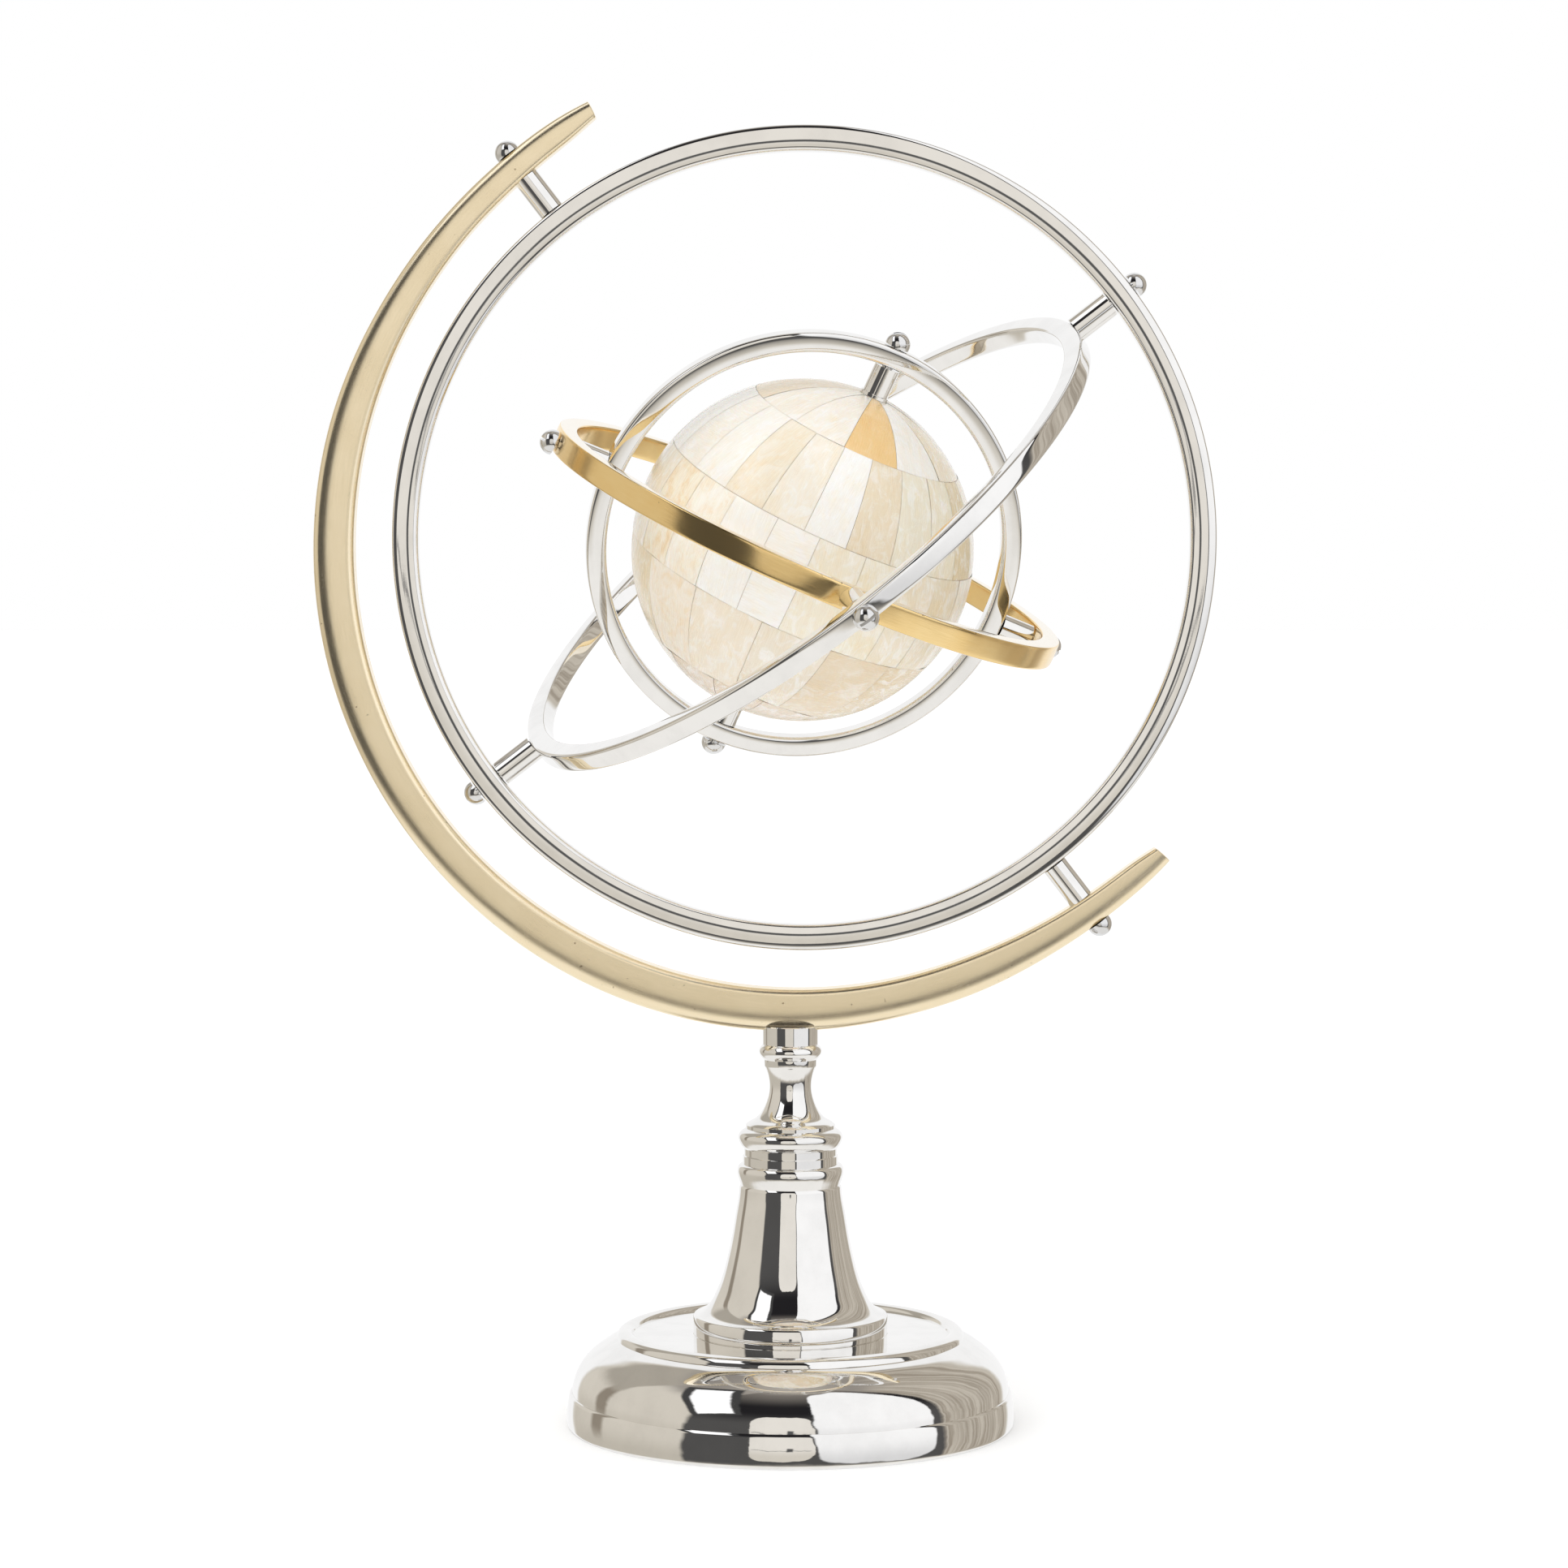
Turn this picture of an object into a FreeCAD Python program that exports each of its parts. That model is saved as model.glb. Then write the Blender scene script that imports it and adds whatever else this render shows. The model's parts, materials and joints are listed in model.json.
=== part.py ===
# Armillary sphere: four nested gimbal rings and a bone-tiled globe carried by a
# crescent arc on a turned column and a domed base.
# Millimetres, +Z up, origin at the centre of the underside of the base.
# +X is to the right of the viewer, +Y is away from the viewer.
import math
import os

import FreeCAD
import Part

V = FreeCAD.Vector

# ----------------------------------------------------------------- dimensions
# centre of ring 1 and ring 2
CX, CZ = 5.1, 329.65

# rings: outer radius, inner radius, axial width, edge rounding
R1_OUT, R1_IN, R1_WIDTH, R1_EDGE = 152.3, 142.4, 9.4, 2.3
R2_OUT, R2_IN, R2_WIDTH, R2_EDGE = 126.3, 118.5, 7.8, 1.2
R3_OUT, R3_IN, R3_WIDTH, R3_EDGE = 100.8, 93.6, 9.3, 0.7
R4_OUT, R4_IN, R4_WIDTH, R4_EDGE = 81.2, 73.7, 7.8, 1.3

# globe
GLOBE_R = 63.4            # over the tiles
TILE_T = 2.0              # thickness of the bone tile skin
CORE_WALL = 5.0           # wall of the hollow core under the tiles
GLOBE_DROP = 1.8          # the globe rests this far down its own axle
AXLE_GRIP = 4.2           # how far a globe screw reaches into tiles and core

# attitude of the rings as displayed (degrees)
AXIS_1 = 127.6            # arc to ring 1, measured in the plane of the arc
RING_2_TILT = 14.8
RING_3_TURN = 119.3
RING_4_TURN = -94.0

# the pivot lines of ring 3 and ring 4 lie a little below the middle of the
# width of the ring that carries them, so the inner rings hang slightly low
RING_3_LOW = 1.2
RING_4_LOW = 1.5

# pivots
SCREW_R = 2.0             # plain shank
HOLE_FIX = 2.01           # hole where the screw is held
HOLE_RUN = 2.06           # hole where the screw turns
HEAD_R, HEAD_H = 4.6, 5.3
SLOT_W, SLOT_D = 1.0, 1.3
SPACER_R, SPACER_BORE = 4.8, 2.15
END_PLAY = 0.45           # play at each end of a pivot
TIP_BACK = 1.6            # screw tips stop short of the inner face of a ring
FLANGE_R, FLANGE_T = 5.5, 1.0

# crescent arc: angle, inner radius, outer radius measured from the ring centre
ARC = [
    (116.4, 172.6, 179.3), (120.0, 170.1, 179.3), (125.0, 168.4, 178.8),
    (130.0, 167.3, 178.2), (136.0, 166.7, 177.9), (143.0, 166.1, 177.9),
    (152.0, 165.7, 178.4), (165.0, 165.7, 180.0), (180.0, 166.2, 181.3),
    (195.0, 167.2, 182.3), (210.0, 168.0, 182.8), (225.0, 168.2, 183.2),
    (240.0, 167.7, 183.5), (255.0, 167.2, 183.2), (270.0, 166.6, 182.2),
    (282.0, 166.2, 180.6), (293.0, 166.1, 179.7), (301.0, 167.0, 179.1),
    (307.0, 168.1, 179.2), (312.0, 169.3, 179.6), (316.0, 170.9, 180.1),
    (318.7, 173.0, 180.3),
]
ARC_DEPTH_MID, ARC_DEPTH_TIP = 13.0, 9.6
ARC_POWER = 3.8           # squareness of the rounded outer side of the section
SPOT_OUT_R, SPOT_IN_R = 4.95, 5.1

# tie rod, nut and washer
ROD_R, ROD_BORE = 3.0, 3.2
NUT_AF, NUT_H = 10.0, 5.0
WASHER_R, WASHER_T = 9.0, 1.6
ROD_IN_ARC = 8.5

# base and felt
BASE_R = 83.4
FELT_R, FELT_T = 76.0, 1.6
HOLLOW_R = 54.0           # hollow under the dish, closed by the felt pad
CEILING_Z = 28.5          # underside of the dish, where the washer bears
FLOOR_Z = 34.1            # floor of the shallow dish on top of the base
FOOT_R, FOOT_TOP = 36.2, 41.4
CAP_TOP = 148.1

OUT = "parts"
os.makedirs(OUT, exist_ok=True)
C = V(CX, 0, CZ)


# -------------------------------------------------------------------- helpers
def rotated(vec, axis, deg):
    return FreeCAD.Rotation(axis, deg).multVec(vec)


def to_axes(shape, x, y, z, origin):
    """Carry a shape drawn about the origin onto the axes x, y, z."""
    m = FreeCAD.Matrix(
        x.x, y.x, z.x, origin.x,
        x.y, y.y, z.y, origin.y,
        x.z, y.z, z.z, origin.z,
        0, 0, 0, 1)
    s = shape.copy()
    s.transformShape(m, True)
    return s


def turned(segments, bore):
    """Solid turned about Z. Segments run from the bottom up; each is
    ("L", points) or ("S", points) with (radius, height) pairs."""
    edges = []
    first = segments[0][1][0]
    last = segments[-1][1][-1]
    for kind, pts in segments:
        vs = [V(r, 0, z) for r, z in pts]
        if kind == "L":
            for a, b in zip(vs[:-1], vs[1:]):
                edges.append(Part.makeLine(a, b))
        else:
            c = Part.BSplineCurve()
            c.interpolate(vs)
            edges.append(c.toShape())
    edges.append(Part.makeLine(V(last[0], 0, last[1]), V(bore, 0, last[1])))
    edges.append(Part.makeLine(V(bore, 0, last[1]), V(bore, 0, first[1])))
    edges.append(Part.makeLine(V(bore, 0, first[1]), V(first[0], 0, first[1])))
    face = Part.Face(Part.Wire(edges))
    return face.revolve(V(0, 0, 0), V(0, 0, 1), 360)


def ring_solid(r_out, r_in, width, edge):
    """Ring turned about Z with four rounded edges."""
    h = width / 2.0
    e = edge
    k = e * (1 - math.sqrt(0.5))
    pts = []
    ed = []

    def arc(a, m, b):
        return Part.Arc(V(a[0], 0, a[1]), V(m[0], 0, m[1]), V(b[0], 0, b[1])).toShape()

    ed.append(Part.makeLine(V(r_in + e, 0, -h), V(r_out - e, 0, -h)))
    ed.append(arc((r_out - e, -h), (r_out - k, -h + k), (r_out, -h + e)))
    ed.append(Part.makeLine(V(r_out, 0, -h + e), V(r_out, 0, h - e)))
    ed.append(arc((r_out, h - e), (r_out - k, h - k), (r_out - e, h)))
    ed.append(Part.makeLine(V(r_out - e, 0, h), V(r_in + e, 0, h)))
    ed.append(arc((r_in + e, h), (r_in + k, h - k), (r_in, h - e)))
    ed.append(Part.makeLine(V(r_in, 0, h - e), V(r_in, 0, -h + e)))
    ed.append(arc((r_in, -h + e), (r_in + k, -h + k), (r_in + e, -h)))
    return Part.Face(Part.Wire(ed)).revolve(V(0, 0, 0), V(0, 0, 1), 360)


def rod_along(direction, r, a, b, centre=C):
    """Cylinder on the line centre + t * direction, t from a to b."""
    return Part.makeCylinder(r, b - a, centre + direction * a, direction)


def screw(direction, seat, tip, side, centre=C):
    """Dome-headed slotted screw. The head sits at seat, the shank ends at tip,
    both measured along direction from centre; side is across the slot."""
    up = direction
    x = side
    y = up.cross(x)
    shank = Part.makeCylinder(SCREW_R, seat - tip + 0.5, V(0, 0, tip), V(0, 0, 1))
    k = HEAD_H
    ball = Part.makeSphere((HEAD_R ** 2 + k ** 2) / (2 * k),
                           V(0, 0, seat + k - (HEAD_R ** 2 + k ** 2) / (2 * k)))
    keep = Part.makeCylinder(HEAD_R + 1, HEAD_H + 1, V(0, 0, seat), V(0, 0, 1))
    head = ball.common(keep)
    slot = Part.makeBox(SLOT_W, 4 * HEAD_R, SLOT_D + 1,
                        V(-SLOT_W / 2, -2 * HEAD_R, seat + HEAD_H - SLOT_D))
    s = shank.fuse(head).removeSplitter().cut(slot)
    return to_axes(s, x, y, up, centre)


def spacer(direction, a, b, centre=C):
    s = rod_along(direction, SPACER_R, a, b, centre)
    return s.cut(rod_along(direction, SPACER_BORE, a - 1, b + 1, centre))


def save(name, shape):
    if isinstance(shape, (list, tuple)):
        solids = []
        for s in shape:
            solids += s.Solids
        shape = solids[0] if len(solids) == 1 else Part.makeCompound(solids)
    elif len(shape.Solids) == 1:
        shape = shape.Solids[0]
    shape.exportStep(os.path.join(OUT, name + ".step"))
    print("%-22s solids %d  volume %.1f  valid %s" % (
        name, len(shape.Solids), shape.Volume, shape.isValid()))


# ------------------------------------------------------------------ attitudes
t = math.radians(AXIS_1)
ax1 = V(math.cos(t), 0, math.sin(t))                 # arc to ring 1
n1 = V(0, 1, 0)
ax2 = V(math.sin(t), 0, -math.cos(t))                # ring 1 to ring 2
ax2 = ax2 if ax2.x > 0 else ax2 * -1
up2 = V(-ax2.z, 0, ax2.x)
k = math.radians(RING_2_TILT)
ax3 = V(0, -1, 0) * math.cos(k) - up2 * math.sin(k)  # ring 2 to ring 3
n2 = ax2.cross(ax3)
ax4 = rotated(ax2, ax3, RING_3_TURN)                 # ring 3 to ring 4
n3 = rotated(n2, ax3, RING_3_TURN)
ax5 = rotated(ax3, ax4, RING_4_TURN) * -1            # ring 4 to globe, upwards
n4 = rotated(n3, ax4, RING_4_TURN)
C3 = C + n2 * RING_3_LOW                             # centre of ring 3
C4 = C3 - n3 * RING_4_LOW                            # centre of ring 4
G = C4 - ax5 * GLOBE_DROP                            # centre of the globe
for nm, v in (("ax1", ax1), ("ax2", ax2), ("ax3", ax3), ("ax4", ax4), ("ax5", ax5),
              ("n2", n2), ("n3", n3), ("n4", n4), ("C3", C3), ("C4", C4), ("G", G)):
    print("%s %.6f %.6f %.6f" % (nm, v.x, v.y, v.z))

# ----------------------------------------------------------------------- base
def closed_turn(segments):
    """Solid turned about Z from segments that already close on themselves."""
    edges = []
    for kind, pts in segments:
        vs = [V(r, 0, z) for r, z in pts]
        if kind == "L":
            for a, b in zip(vs[:-1], vs[1:]):
                edges.append(Part.makeLine(a, b))
        else:
            c = Part.BSplineCurve()
            c.interpolate(vs)
            edges.append(c.toShape())
    return Part.Face(Part.Wire(edges)).revolve(V(0, 0, 0), V(0, 0, 1), 360)


base = closed_turn([
    ("L", [(FELT_R, 0.0), (82.3, 0.0)]),
    ("S", [(82.3, 0.0), (83.0, 0.5), (83.3, 1.6), (BASE_R, 4.0), (83.1, 8.1), (82.5, 11.7)]),
    ("L", [(82.5, 11.7), (82.1, 12.3), (81.5, 12.4)]),
    ("S", [(81.5, 12.4), (81.2, 14.9), (80.2, 18.5), (78.2, 22.4), (74.8, 26.3),
           (70.6, 29.5), (67.2, 31.6), (64.8, 32.7)]),
    ("S", [(64.8, 32.7), (64.3, 34.4), (62.8, 35.6), (60.9, 35.9), (59.2, 35.2),
           (58.4, FLOOR_Z)]),
    ("L", [(58.4, FLOOR_Z), (ROD_BORE, FLOOR_Z), (ROD_BORE, CEILING_Z),
           (HOLLOW_R, CEILING_Z), (HOLLOW_R, FELT_T), (FELT_R, FELT_T), (FELT_R, 0.0)]),
])
save("base_dome", base)
save("base_felt_pad", Part.makeCylinder(FELT_R - 0.05, FELT_T, V(0, 0, 0)))

# ------------------------------------------------------------------- tie rod
rod_top = CAP_TOP + ROD_IN_ARC
rod_bottom = CEILING_Z - WASHER_T - NUT_H - 2.5
rod = Part.makeCylinder(ROD_R, rod_top - rod_bottom, V(0, 0, rod_bottom))
save("tie_rod", rod)
washer = Part.makeCylinder(WASHER_R, WASHER_T, V(0, 0, CEILING_Z - WASHER_T)).cut(
    Part.makeCylinder(ROD_BORE, 60, V(0, 0, 0)))
save("tie_rod_washer", washer)
hexa = []
for i in range(7):
    a = math.radians(60 * i + 30)
    hexa.append(V(NUT_AF / math.sqrt(3) * math.cos(a), NUT_AF / math.sqrt(3) * math.sin(a),
                  CEILING_Z - WASHER_T - NUT_H))
nut = Part.Face(Part.makePolygon(hexa)).extrude(V(0, 0, NUT_H))
nut = nut.cut(Part.makeCylinder(ROD_R + 0.01, 30, V(0, 0, 0)))
save("tie_rod_nut", nut)

# -------------------------------------------------------------------- column
foot = turned([
    ("L", [(FOOT_R - 0.3, FLOOR_Z), (FOOT_R, FLOOR_Z + 0.3)]),
    ("L", [(FOOT_R, FLOOR_Z + 0.3), (FOOT_R, FOOT_TOP - 0.9)]),
    ("S", [(FOOT_R, FOOT_TOP - 0.9), (FOOT_R - 0.35, FOOT_TOP - 0.25), (FOOT_R - 1.1, FOOT_TOP)]),
], ROD_BORE)
save("column_foot", foot)

bell = turned([
    ("S", [(34.6, FOOT_TOP), (33.0, 42.3), (31.3, 43.7), (29.7, 45.6), (28.2, 48.5),
           (26.6, 52.1), (25.0, 56.8), (23.7, 61.9), (22.4, 67.8), (21.3, 73.9),
           (20.3, 79.9), (19.4, 85.1), (19.0, 89.2)]),
    ("L", [(19.0, 89.2), (18.6, 89.8)]),
], ROD_BORE)
save("column_bell", bell)

bead_low = turned([
    ("S", [(18.6, 89.8), (19.0, 91.1), (19.55, 92.9), (19.85, 94.8), (19.7, 96.1),
           (19.1, 97.2), (18.3, 97.7)]),
], ROD_BORE)
save("column_bead_lower", bead_low)

band = turned([
    ("L", [(17.8, 97.7), (17.8, 100.7)]),
    ("L", [(17.8, 100.7), (17.4, 101.1)]),
    ("L", [(17.4, 101.1), (17.4, 103.5)]),
], ROD_BORE)
save("column_band", band)

bead_up = turned([
    ("S", [(17.5, 103.5), (18.3, 104.4), (19.1, 106.0), (19.45, 107.8), (19.1, 109.0),
           (18.2, 110.0), (17.3, 110.6)]),
    ("L", [(17.3, 110.6), (16.7, 111.0)]),
], ROD_BORE)
save("column_bead_upper", bead_up)

neck = turned([
    ("L", [(16.7, 111.0), (16.7, 112.3)]),
    ("S", [(16.7, 112.3), (15.4, 113.3), (13.4, 114.4), (11.6, 116.0), (10.2, 118.1),
           (9.0, 120.8), (8.2, 123.4), (7.85, 126.3), (8.2, 129.8), (8.9, 132.2),
           (9.9, 134.4)]),
    ("L", [(9.9, 134.4), (9.9, 136.7)]),
], ROD_BORE)
save("column_neck", neck)

bead_top = turned([
    ("S", [(10.1, 136.7), (11.0, 137.8), (11.75, 139.7), (11.3, 141.2), (10.5, 142.1)]),
], ROD_BORE)
save("column_bead_top", bead_top)

# ----------------------------------------------------------------------- arc
mid_angle = 217.0


def arc_wire(angle, r_in, r_out):
    a = math.radians(angle)
    radial = V(math.cos(a), 0, math.sin(a))
    f = min(1.0, abs(angle - mid_angle) / 101.0)
    depth = ARC_DEPTH_MID - (ARC_DEPTH_MID - ARC_DEPTH_TIP) * f ** 1.6
    thick = r_out - r_in
    pts = []
    n = 24
    for i in range(n + 1):
        u = 2.0 * i / n - 1.0
        p = math.pi / 2 * math.copysign(1 - (1 - abs(u)) ** 1.7, u)
        sy = math.copysign(abs(math.sin(p)) ** (2 / ARC_POWER), p)
        sr = abs(math.cos(p)) ** (2 / ARC_POWER) if 0 < i < n else 0.0
        pts.append(C + radial * (r_in + thick * sr) + V(0, depth / 2 * sy, 0))
    c = Part.BSplineCurve()
    c.interpolate(pts)
    return Part.Wire([c.toShape(), Part.makeLine(pts[-1], pts[0])])


def arc_radii(angle):
    for (a0, i0, o0), (a1, i1, o1) in zip(ARC[:-1], ARC[1:]):
        if a0 <= angle <= a1:
            f = (angle - a0) / (a1 - a0)
            return i0 + (i1 - i0) * f, o0 + (o1 - o0) * f
    raise ValueError(angle)


arc = Part.makeLoft([arc_wire(*row) for row in ARC], True, False)
if arc.Volume < 0:
    arc.reverse()
seats = {}
for name, d, angle in (("a", ax1, AXIS_1), ("b", ax1 * -1, AXIS_1 + 180)):
    ri, ro = arc_radii(angle)
    in_face, out_face = ri + 0.5, ro - 0.55
    seats[name] = (d, in_face, out_face)
    arc = arc.cut(rod_along(d, HOLE_RUN, ri - 5, ro + 5))
    arc = arc.cut(rod_along(d, SPOT_IN_R, ri - 5, in_face))
    arc = arc.cut(rod_along(d, SPOT_OUT_R, out_face, ro + 5))
arc = arc.cut(Part.makeCylinder(ROD_R + 0.01, rod_top - 100, V(0, 0, 100)))
save("crescent_arc", arc)

cap = turned([
    ("L", [(10.2, 142.1), (10.4, 142.4), (10.4, CAP_TOP + 0.9), (10.1, CAP_TOP + 1.2)]),
], ROD_BORE)
arc_full = Part.makeLoft([arc_wire(*row) for row in ARC], True, False)
cap = cap.cut(arc_full)
cap = max(cap.Solids, key=lambda s: s.Volume)
save("column_cap", cap)

# --------------------------------------------------------------------- rings
def make_ring(dims, own, other, normal, centre, other_centre):
    """Ring on its own pivot line, bored for the pivot line of the next ring."""
    r_out, r_in, width, edge = dims
    s = ring_solid(r_out, r_in, width, edge)
    s = to_axes(s, own, normal.cross(own), normal, centre)
    for d in (own, own * -1):
        s = s.cut(rod_along(d, HOLE_FIX, r_in - 3, r_out + 3, centre))
    for d in (other, other * -1):
        s = s.cut(rod_along(d, HOLE_RUN, r_in - 3, r_out + 3, other_centre))
    return s


R1 = (R1_OUT, R1_IN, R1_WIDTH, R1_EDGE)
R2 = (R2_OUT, R2_IN, R2_WIDTH, R2_EDGE)
R3 = (R3_OUT, R3_IN, R3_WIDTH, R3_EDGE)
R4 = (R4_OUT, R4_IN, R4_WIDTH, R4_EDGE)
save("ring_1", make_ring(R1, ax1, ax2, n1, C, C))
save("ring_2", make_ring(R2, ax2, ax3, n2, C, C3))
save("ring_3", make_ring(R3, ax3, ax4, n3, C3, C4))
save("ring_4", make_ring(R4, ax4, ax5, n4, C4, C4))


# arc to ring 1
sc, sp = [], []
for name in ("a", "b"):
    d, in_face, out_face = seats[name]
    sc.append(screw(d, out_face + END_PLAY, R1_IN + TIP_BACK, n1))
    sp.append(spacer(d, R1_OUT, in_face - END_PLAY))
save("ring_1_screws", sc)
save("ring_1_spacers", sp)

# ring to ring
for n, outer, inner, axis, side, centre in (
        (2, R1, R2, ax2, n1, C), (3, R2, R3, ax3, n2, C3), (4, R3, R4, ax4, n3, C4)):
    sc, sp = [], []
    for d in (axis, axis * -1):
        sc.append(screw(d, outer[0] + END_PLAY, inner[1] + TIP_BACK, side, centre))
        sp.append(spacer(d, inner[0], outer[1] - END_PLAY, centre))
    save("ring_%d_screws" % n, sc)
    save("ring_%d_spacers" % n, sp)

# --------------------------------------------------------------------- globe
core_r = GLOBE_R - TILE_T
outer_ball = Part.makeSphere(GLOBE_R, V(0, 0, 0))
core_ball = Part.makeSphere(core_r, V(0, 0, 0))
hollow = Part.makeSphere(core_r - CORE_WALL, V(0, 0, 0))
side5 = n4
across = ax5.cross(side5)
core = core_ball.cut(hollow)
skin = outer_ball.cut(Part.makeSphere(core_r, V(0, 0, 0)))
hole = Part.makeCylinder(HOLE_FIX, 160, V(0, 0, -80))
core = core.cut(hole)
skin = skin.cut(hole)
save("globe_core", to_axes(core, side5, across, ax5, G))
save("globe_tile_skin", to_axes(skin, side5, across, ax5, G))

sc, sp, fl = [], [], []
for sgn, drop in ((1, -GLOBE_DROP), (-1, GLOBE_DROP)):
    d = ax5 * sgn
    surface = GLOBE_R + drop
    flange_top = surface + FLANGE_T
    sc.append(screw(d, R4_OUT + END_PLAY, surface - AXLE_GRIP, side5, C4))
    sp.append(spacer(d, flange_top, R4_IN - END_PLAY, C4))
    f = rod_along(d, FLANGE_R, surface - 1.5, flange_top, C4)
    f = f.cut(rod_along(d, SPACER_BORE, surface - 5, flange_top + 5, C4))
    f = f.cut(to_axes(outer_ball, side5, across, ax5, G))
    fl.append(max(f.Solids, key=lambda s: s.Volume))
save("globe_screws", sc)
save("globe_spacers", sp)
save("globe_flanges", fl)
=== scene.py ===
import json
import math
import random

import bmesh
import bpy
import numpy as np
from mathutils import Matrix, Vector


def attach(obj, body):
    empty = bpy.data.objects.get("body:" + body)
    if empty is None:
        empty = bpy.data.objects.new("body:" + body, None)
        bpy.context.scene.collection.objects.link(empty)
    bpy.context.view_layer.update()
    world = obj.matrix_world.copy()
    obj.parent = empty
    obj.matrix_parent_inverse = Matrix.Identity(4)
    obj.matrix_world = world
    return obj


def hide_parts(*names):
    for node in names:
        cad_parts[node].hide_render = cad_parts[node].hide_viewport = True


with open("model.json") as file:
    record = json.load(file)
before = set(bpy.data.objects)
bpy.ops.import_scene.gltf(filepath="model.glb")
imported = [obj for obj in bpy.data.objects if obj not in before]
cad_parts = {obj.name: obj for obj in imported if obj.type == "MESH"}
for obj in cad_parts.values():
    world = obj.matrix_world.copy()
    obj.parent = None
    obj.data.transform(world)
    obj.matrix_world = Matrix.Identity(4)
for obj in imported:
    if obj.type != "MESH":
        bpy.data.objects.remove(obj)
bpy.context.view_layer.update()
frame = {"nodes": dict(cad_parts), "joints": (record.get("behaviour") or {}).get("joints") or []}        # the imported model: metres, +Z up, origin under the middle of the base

nodes = frame["nodes"]
MM = 0.001

# ------------------------------------------------------------------ dimensions
# The same numbers as the CAD source, in millimetres.
C = Vector((5.1, 0.0, 329.65))
R1 = (152.3, 142.4, 9.4, 9.0, 0.095)
R2 = (126.3, 118.5, 7.8, 7.5, 0.06)
R3 = (100.8, 93.6, 9.3, 11.0, 0.035)
R4 = (81.2, 73.7, 7.8, 7.0, 0.045)
GLOBE_R, TILE_T = 63.4, 2.0
ARC_DEPTH_MID, ARC_DEPTH_TIP, ARC_POWER = 13.0, 9.6, 4.2
ARC = [
    (116.4, 172.6, 179.3), (120.0, 170.1, 179.3), (125.0, 168.4, 178.8),
    (130.0, 167.3, 178.2), (136.0, 166.7, 177.9), (143.0, 166.1, 177.9),
    (152.0, 165.7, 178.4), (165.0, 165.7, 180.0), (180.0, 166.2, 181.3),
    (195.0, 167.2, 182.3), (210.0, 168.0, 182.8), (225.0, 168.2, 183.2),
    (240.0, 167.7, 183.5), (255.0, 167.2, 183.2), (270.0, 166.6, 182.2),
    (282.0, 166.2, 180.6), (293.0, 166.1, 179.7), (301.0, 167.0, 179.1),
    (307.0, 168.1, 179.2), (312.0, 169.3, 179.6), (316.0, 170.9, 180.1),
    (318.7, 173.0, 180.3),
]

joints = {j["name"]: j for j in frame["joints"]}


def joint_axis(name):
    return Vector(joints[name]["axis"]).normalized()


def joint_pos(name):
    return Vector(joints[name]["pos_m"]) / MM


ax1, ax2, ax3, ax4, ax5 = [joint_axis(n) for n in (
    "ring_one_pivot", "ring_two_pivot", "ring_three_pivot", "ring_four_pivot", "globe_pivot")]
C3, C4, G = joint_pos("ring_three_pivot"), joint_pos("ring_four_pivot"), joint_pos("globe_pivot")
n1 = Vector((0, 1, 0))
n2, n3, n4 = ax2.cross(ax3), ax3.cross(ax4), ax4.cross(ax5)


# ------------------------------------------------------------------ node helpers
class Tree:
    """Small helper for building shader node trees."""

    def __init__(self, tree):
        self.t = tree
        self.x = 0

    def add(self, kind, **kw):
        n = self.t.nodes.new(kind)
        self.x += 180
        n.location = (self.x, (self.x * 7) % 900)
        for k, v in kw.items():
            setattr(n, k, v)
        return n

    def put(self, sock, v):
        if isinstance(v, bpy.types.NodeSocket):
            self.t.links.new(v, sock)
        elif isinstance(v, (tuple, list)) and len(v) == 3 and sock.type == "RGBA":
            sock.default_value = (*v, 1.0)
        else:
            sock.default_value = v

    def m(self, op, a, b=0.0, c=0.0, clamp=False):
        n = self.add("ShaderNodeMath", operation=op, use_clamp=clamp)
        self.put(n.inputs[0], a)
        self.put(n.inputs[1], b)
        if op in ("MULTIPLY_ADD", "COMPARE", "SMOOTH_MIN", "SMOOTH_MAX"):
            self.put(n.inputs[2], c)
        return n.outputs[0]

    def ramp01(self, v, a, b, lo=0.0, hi=1.0):
        n = self.add("ShaderNodeMapRange", interpolation_type="SMOOTHSTEP")
        self.put(n.inputs["Value"], v)
        self.put(n.inputs["From Min"], a)
        self.put(n.inputs["From Max"], b)
        self.put(n.inputs["To Min"], lo)
        self.put(n.inputs["To Max"], hi)
        return n.outputs["Result"]

    def mix(self, f, a, b, blend="MIX"):
        n = self.add("ShaderNodeMix", data_type="RGBA", blend_type=blend)
        self.put(n.inputs["Factor"], f)
        self.put(n.inputs["A"], a)
        self.put(n.inputs["B"], b)
        return n.outputs["Result"]

    def noise(self, vec, scale, detail=3.0, rough=0.55, dist=0.0, dims="3D"):
        n = self.add("ShaderNodeTexNoise", noise_dimensions=dims)
        if vec is not None:
            self.put(n.inputs["Vector"], vec)
        n.inputs["Scale"].default_value = scale
        n.inputs["Detail"].default_value = detail
        n.inputs["Roughness"].default_value = rough
        n.inputs["Distortion"].default_value = dist
        return n.outputs["Fac"]

    def scaled(self, vec, s, rot=(0, 0, 0)):
        n = self.add("ShaderNodeMapping")
        self.put(n.inputs["Vector"], vec)
        n.inputs["Scale"].default_value = s
        n.inputs["Rotation"].default_value = rot
        return n.outputs["Vector"]

    def bump(self, height, strength, distance, normal=None):
        n = self.add("ShaderNodeBump")
        n.inputs["Strength"].default_value = strength
        n.inputs["Distance"].default_value = distance
        self.put(n.inputs["Height"], height)
        if normal is not None:
            self.put(n.inputs["Normal"], normal)
        return n.outputs["Normal"]


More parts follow.
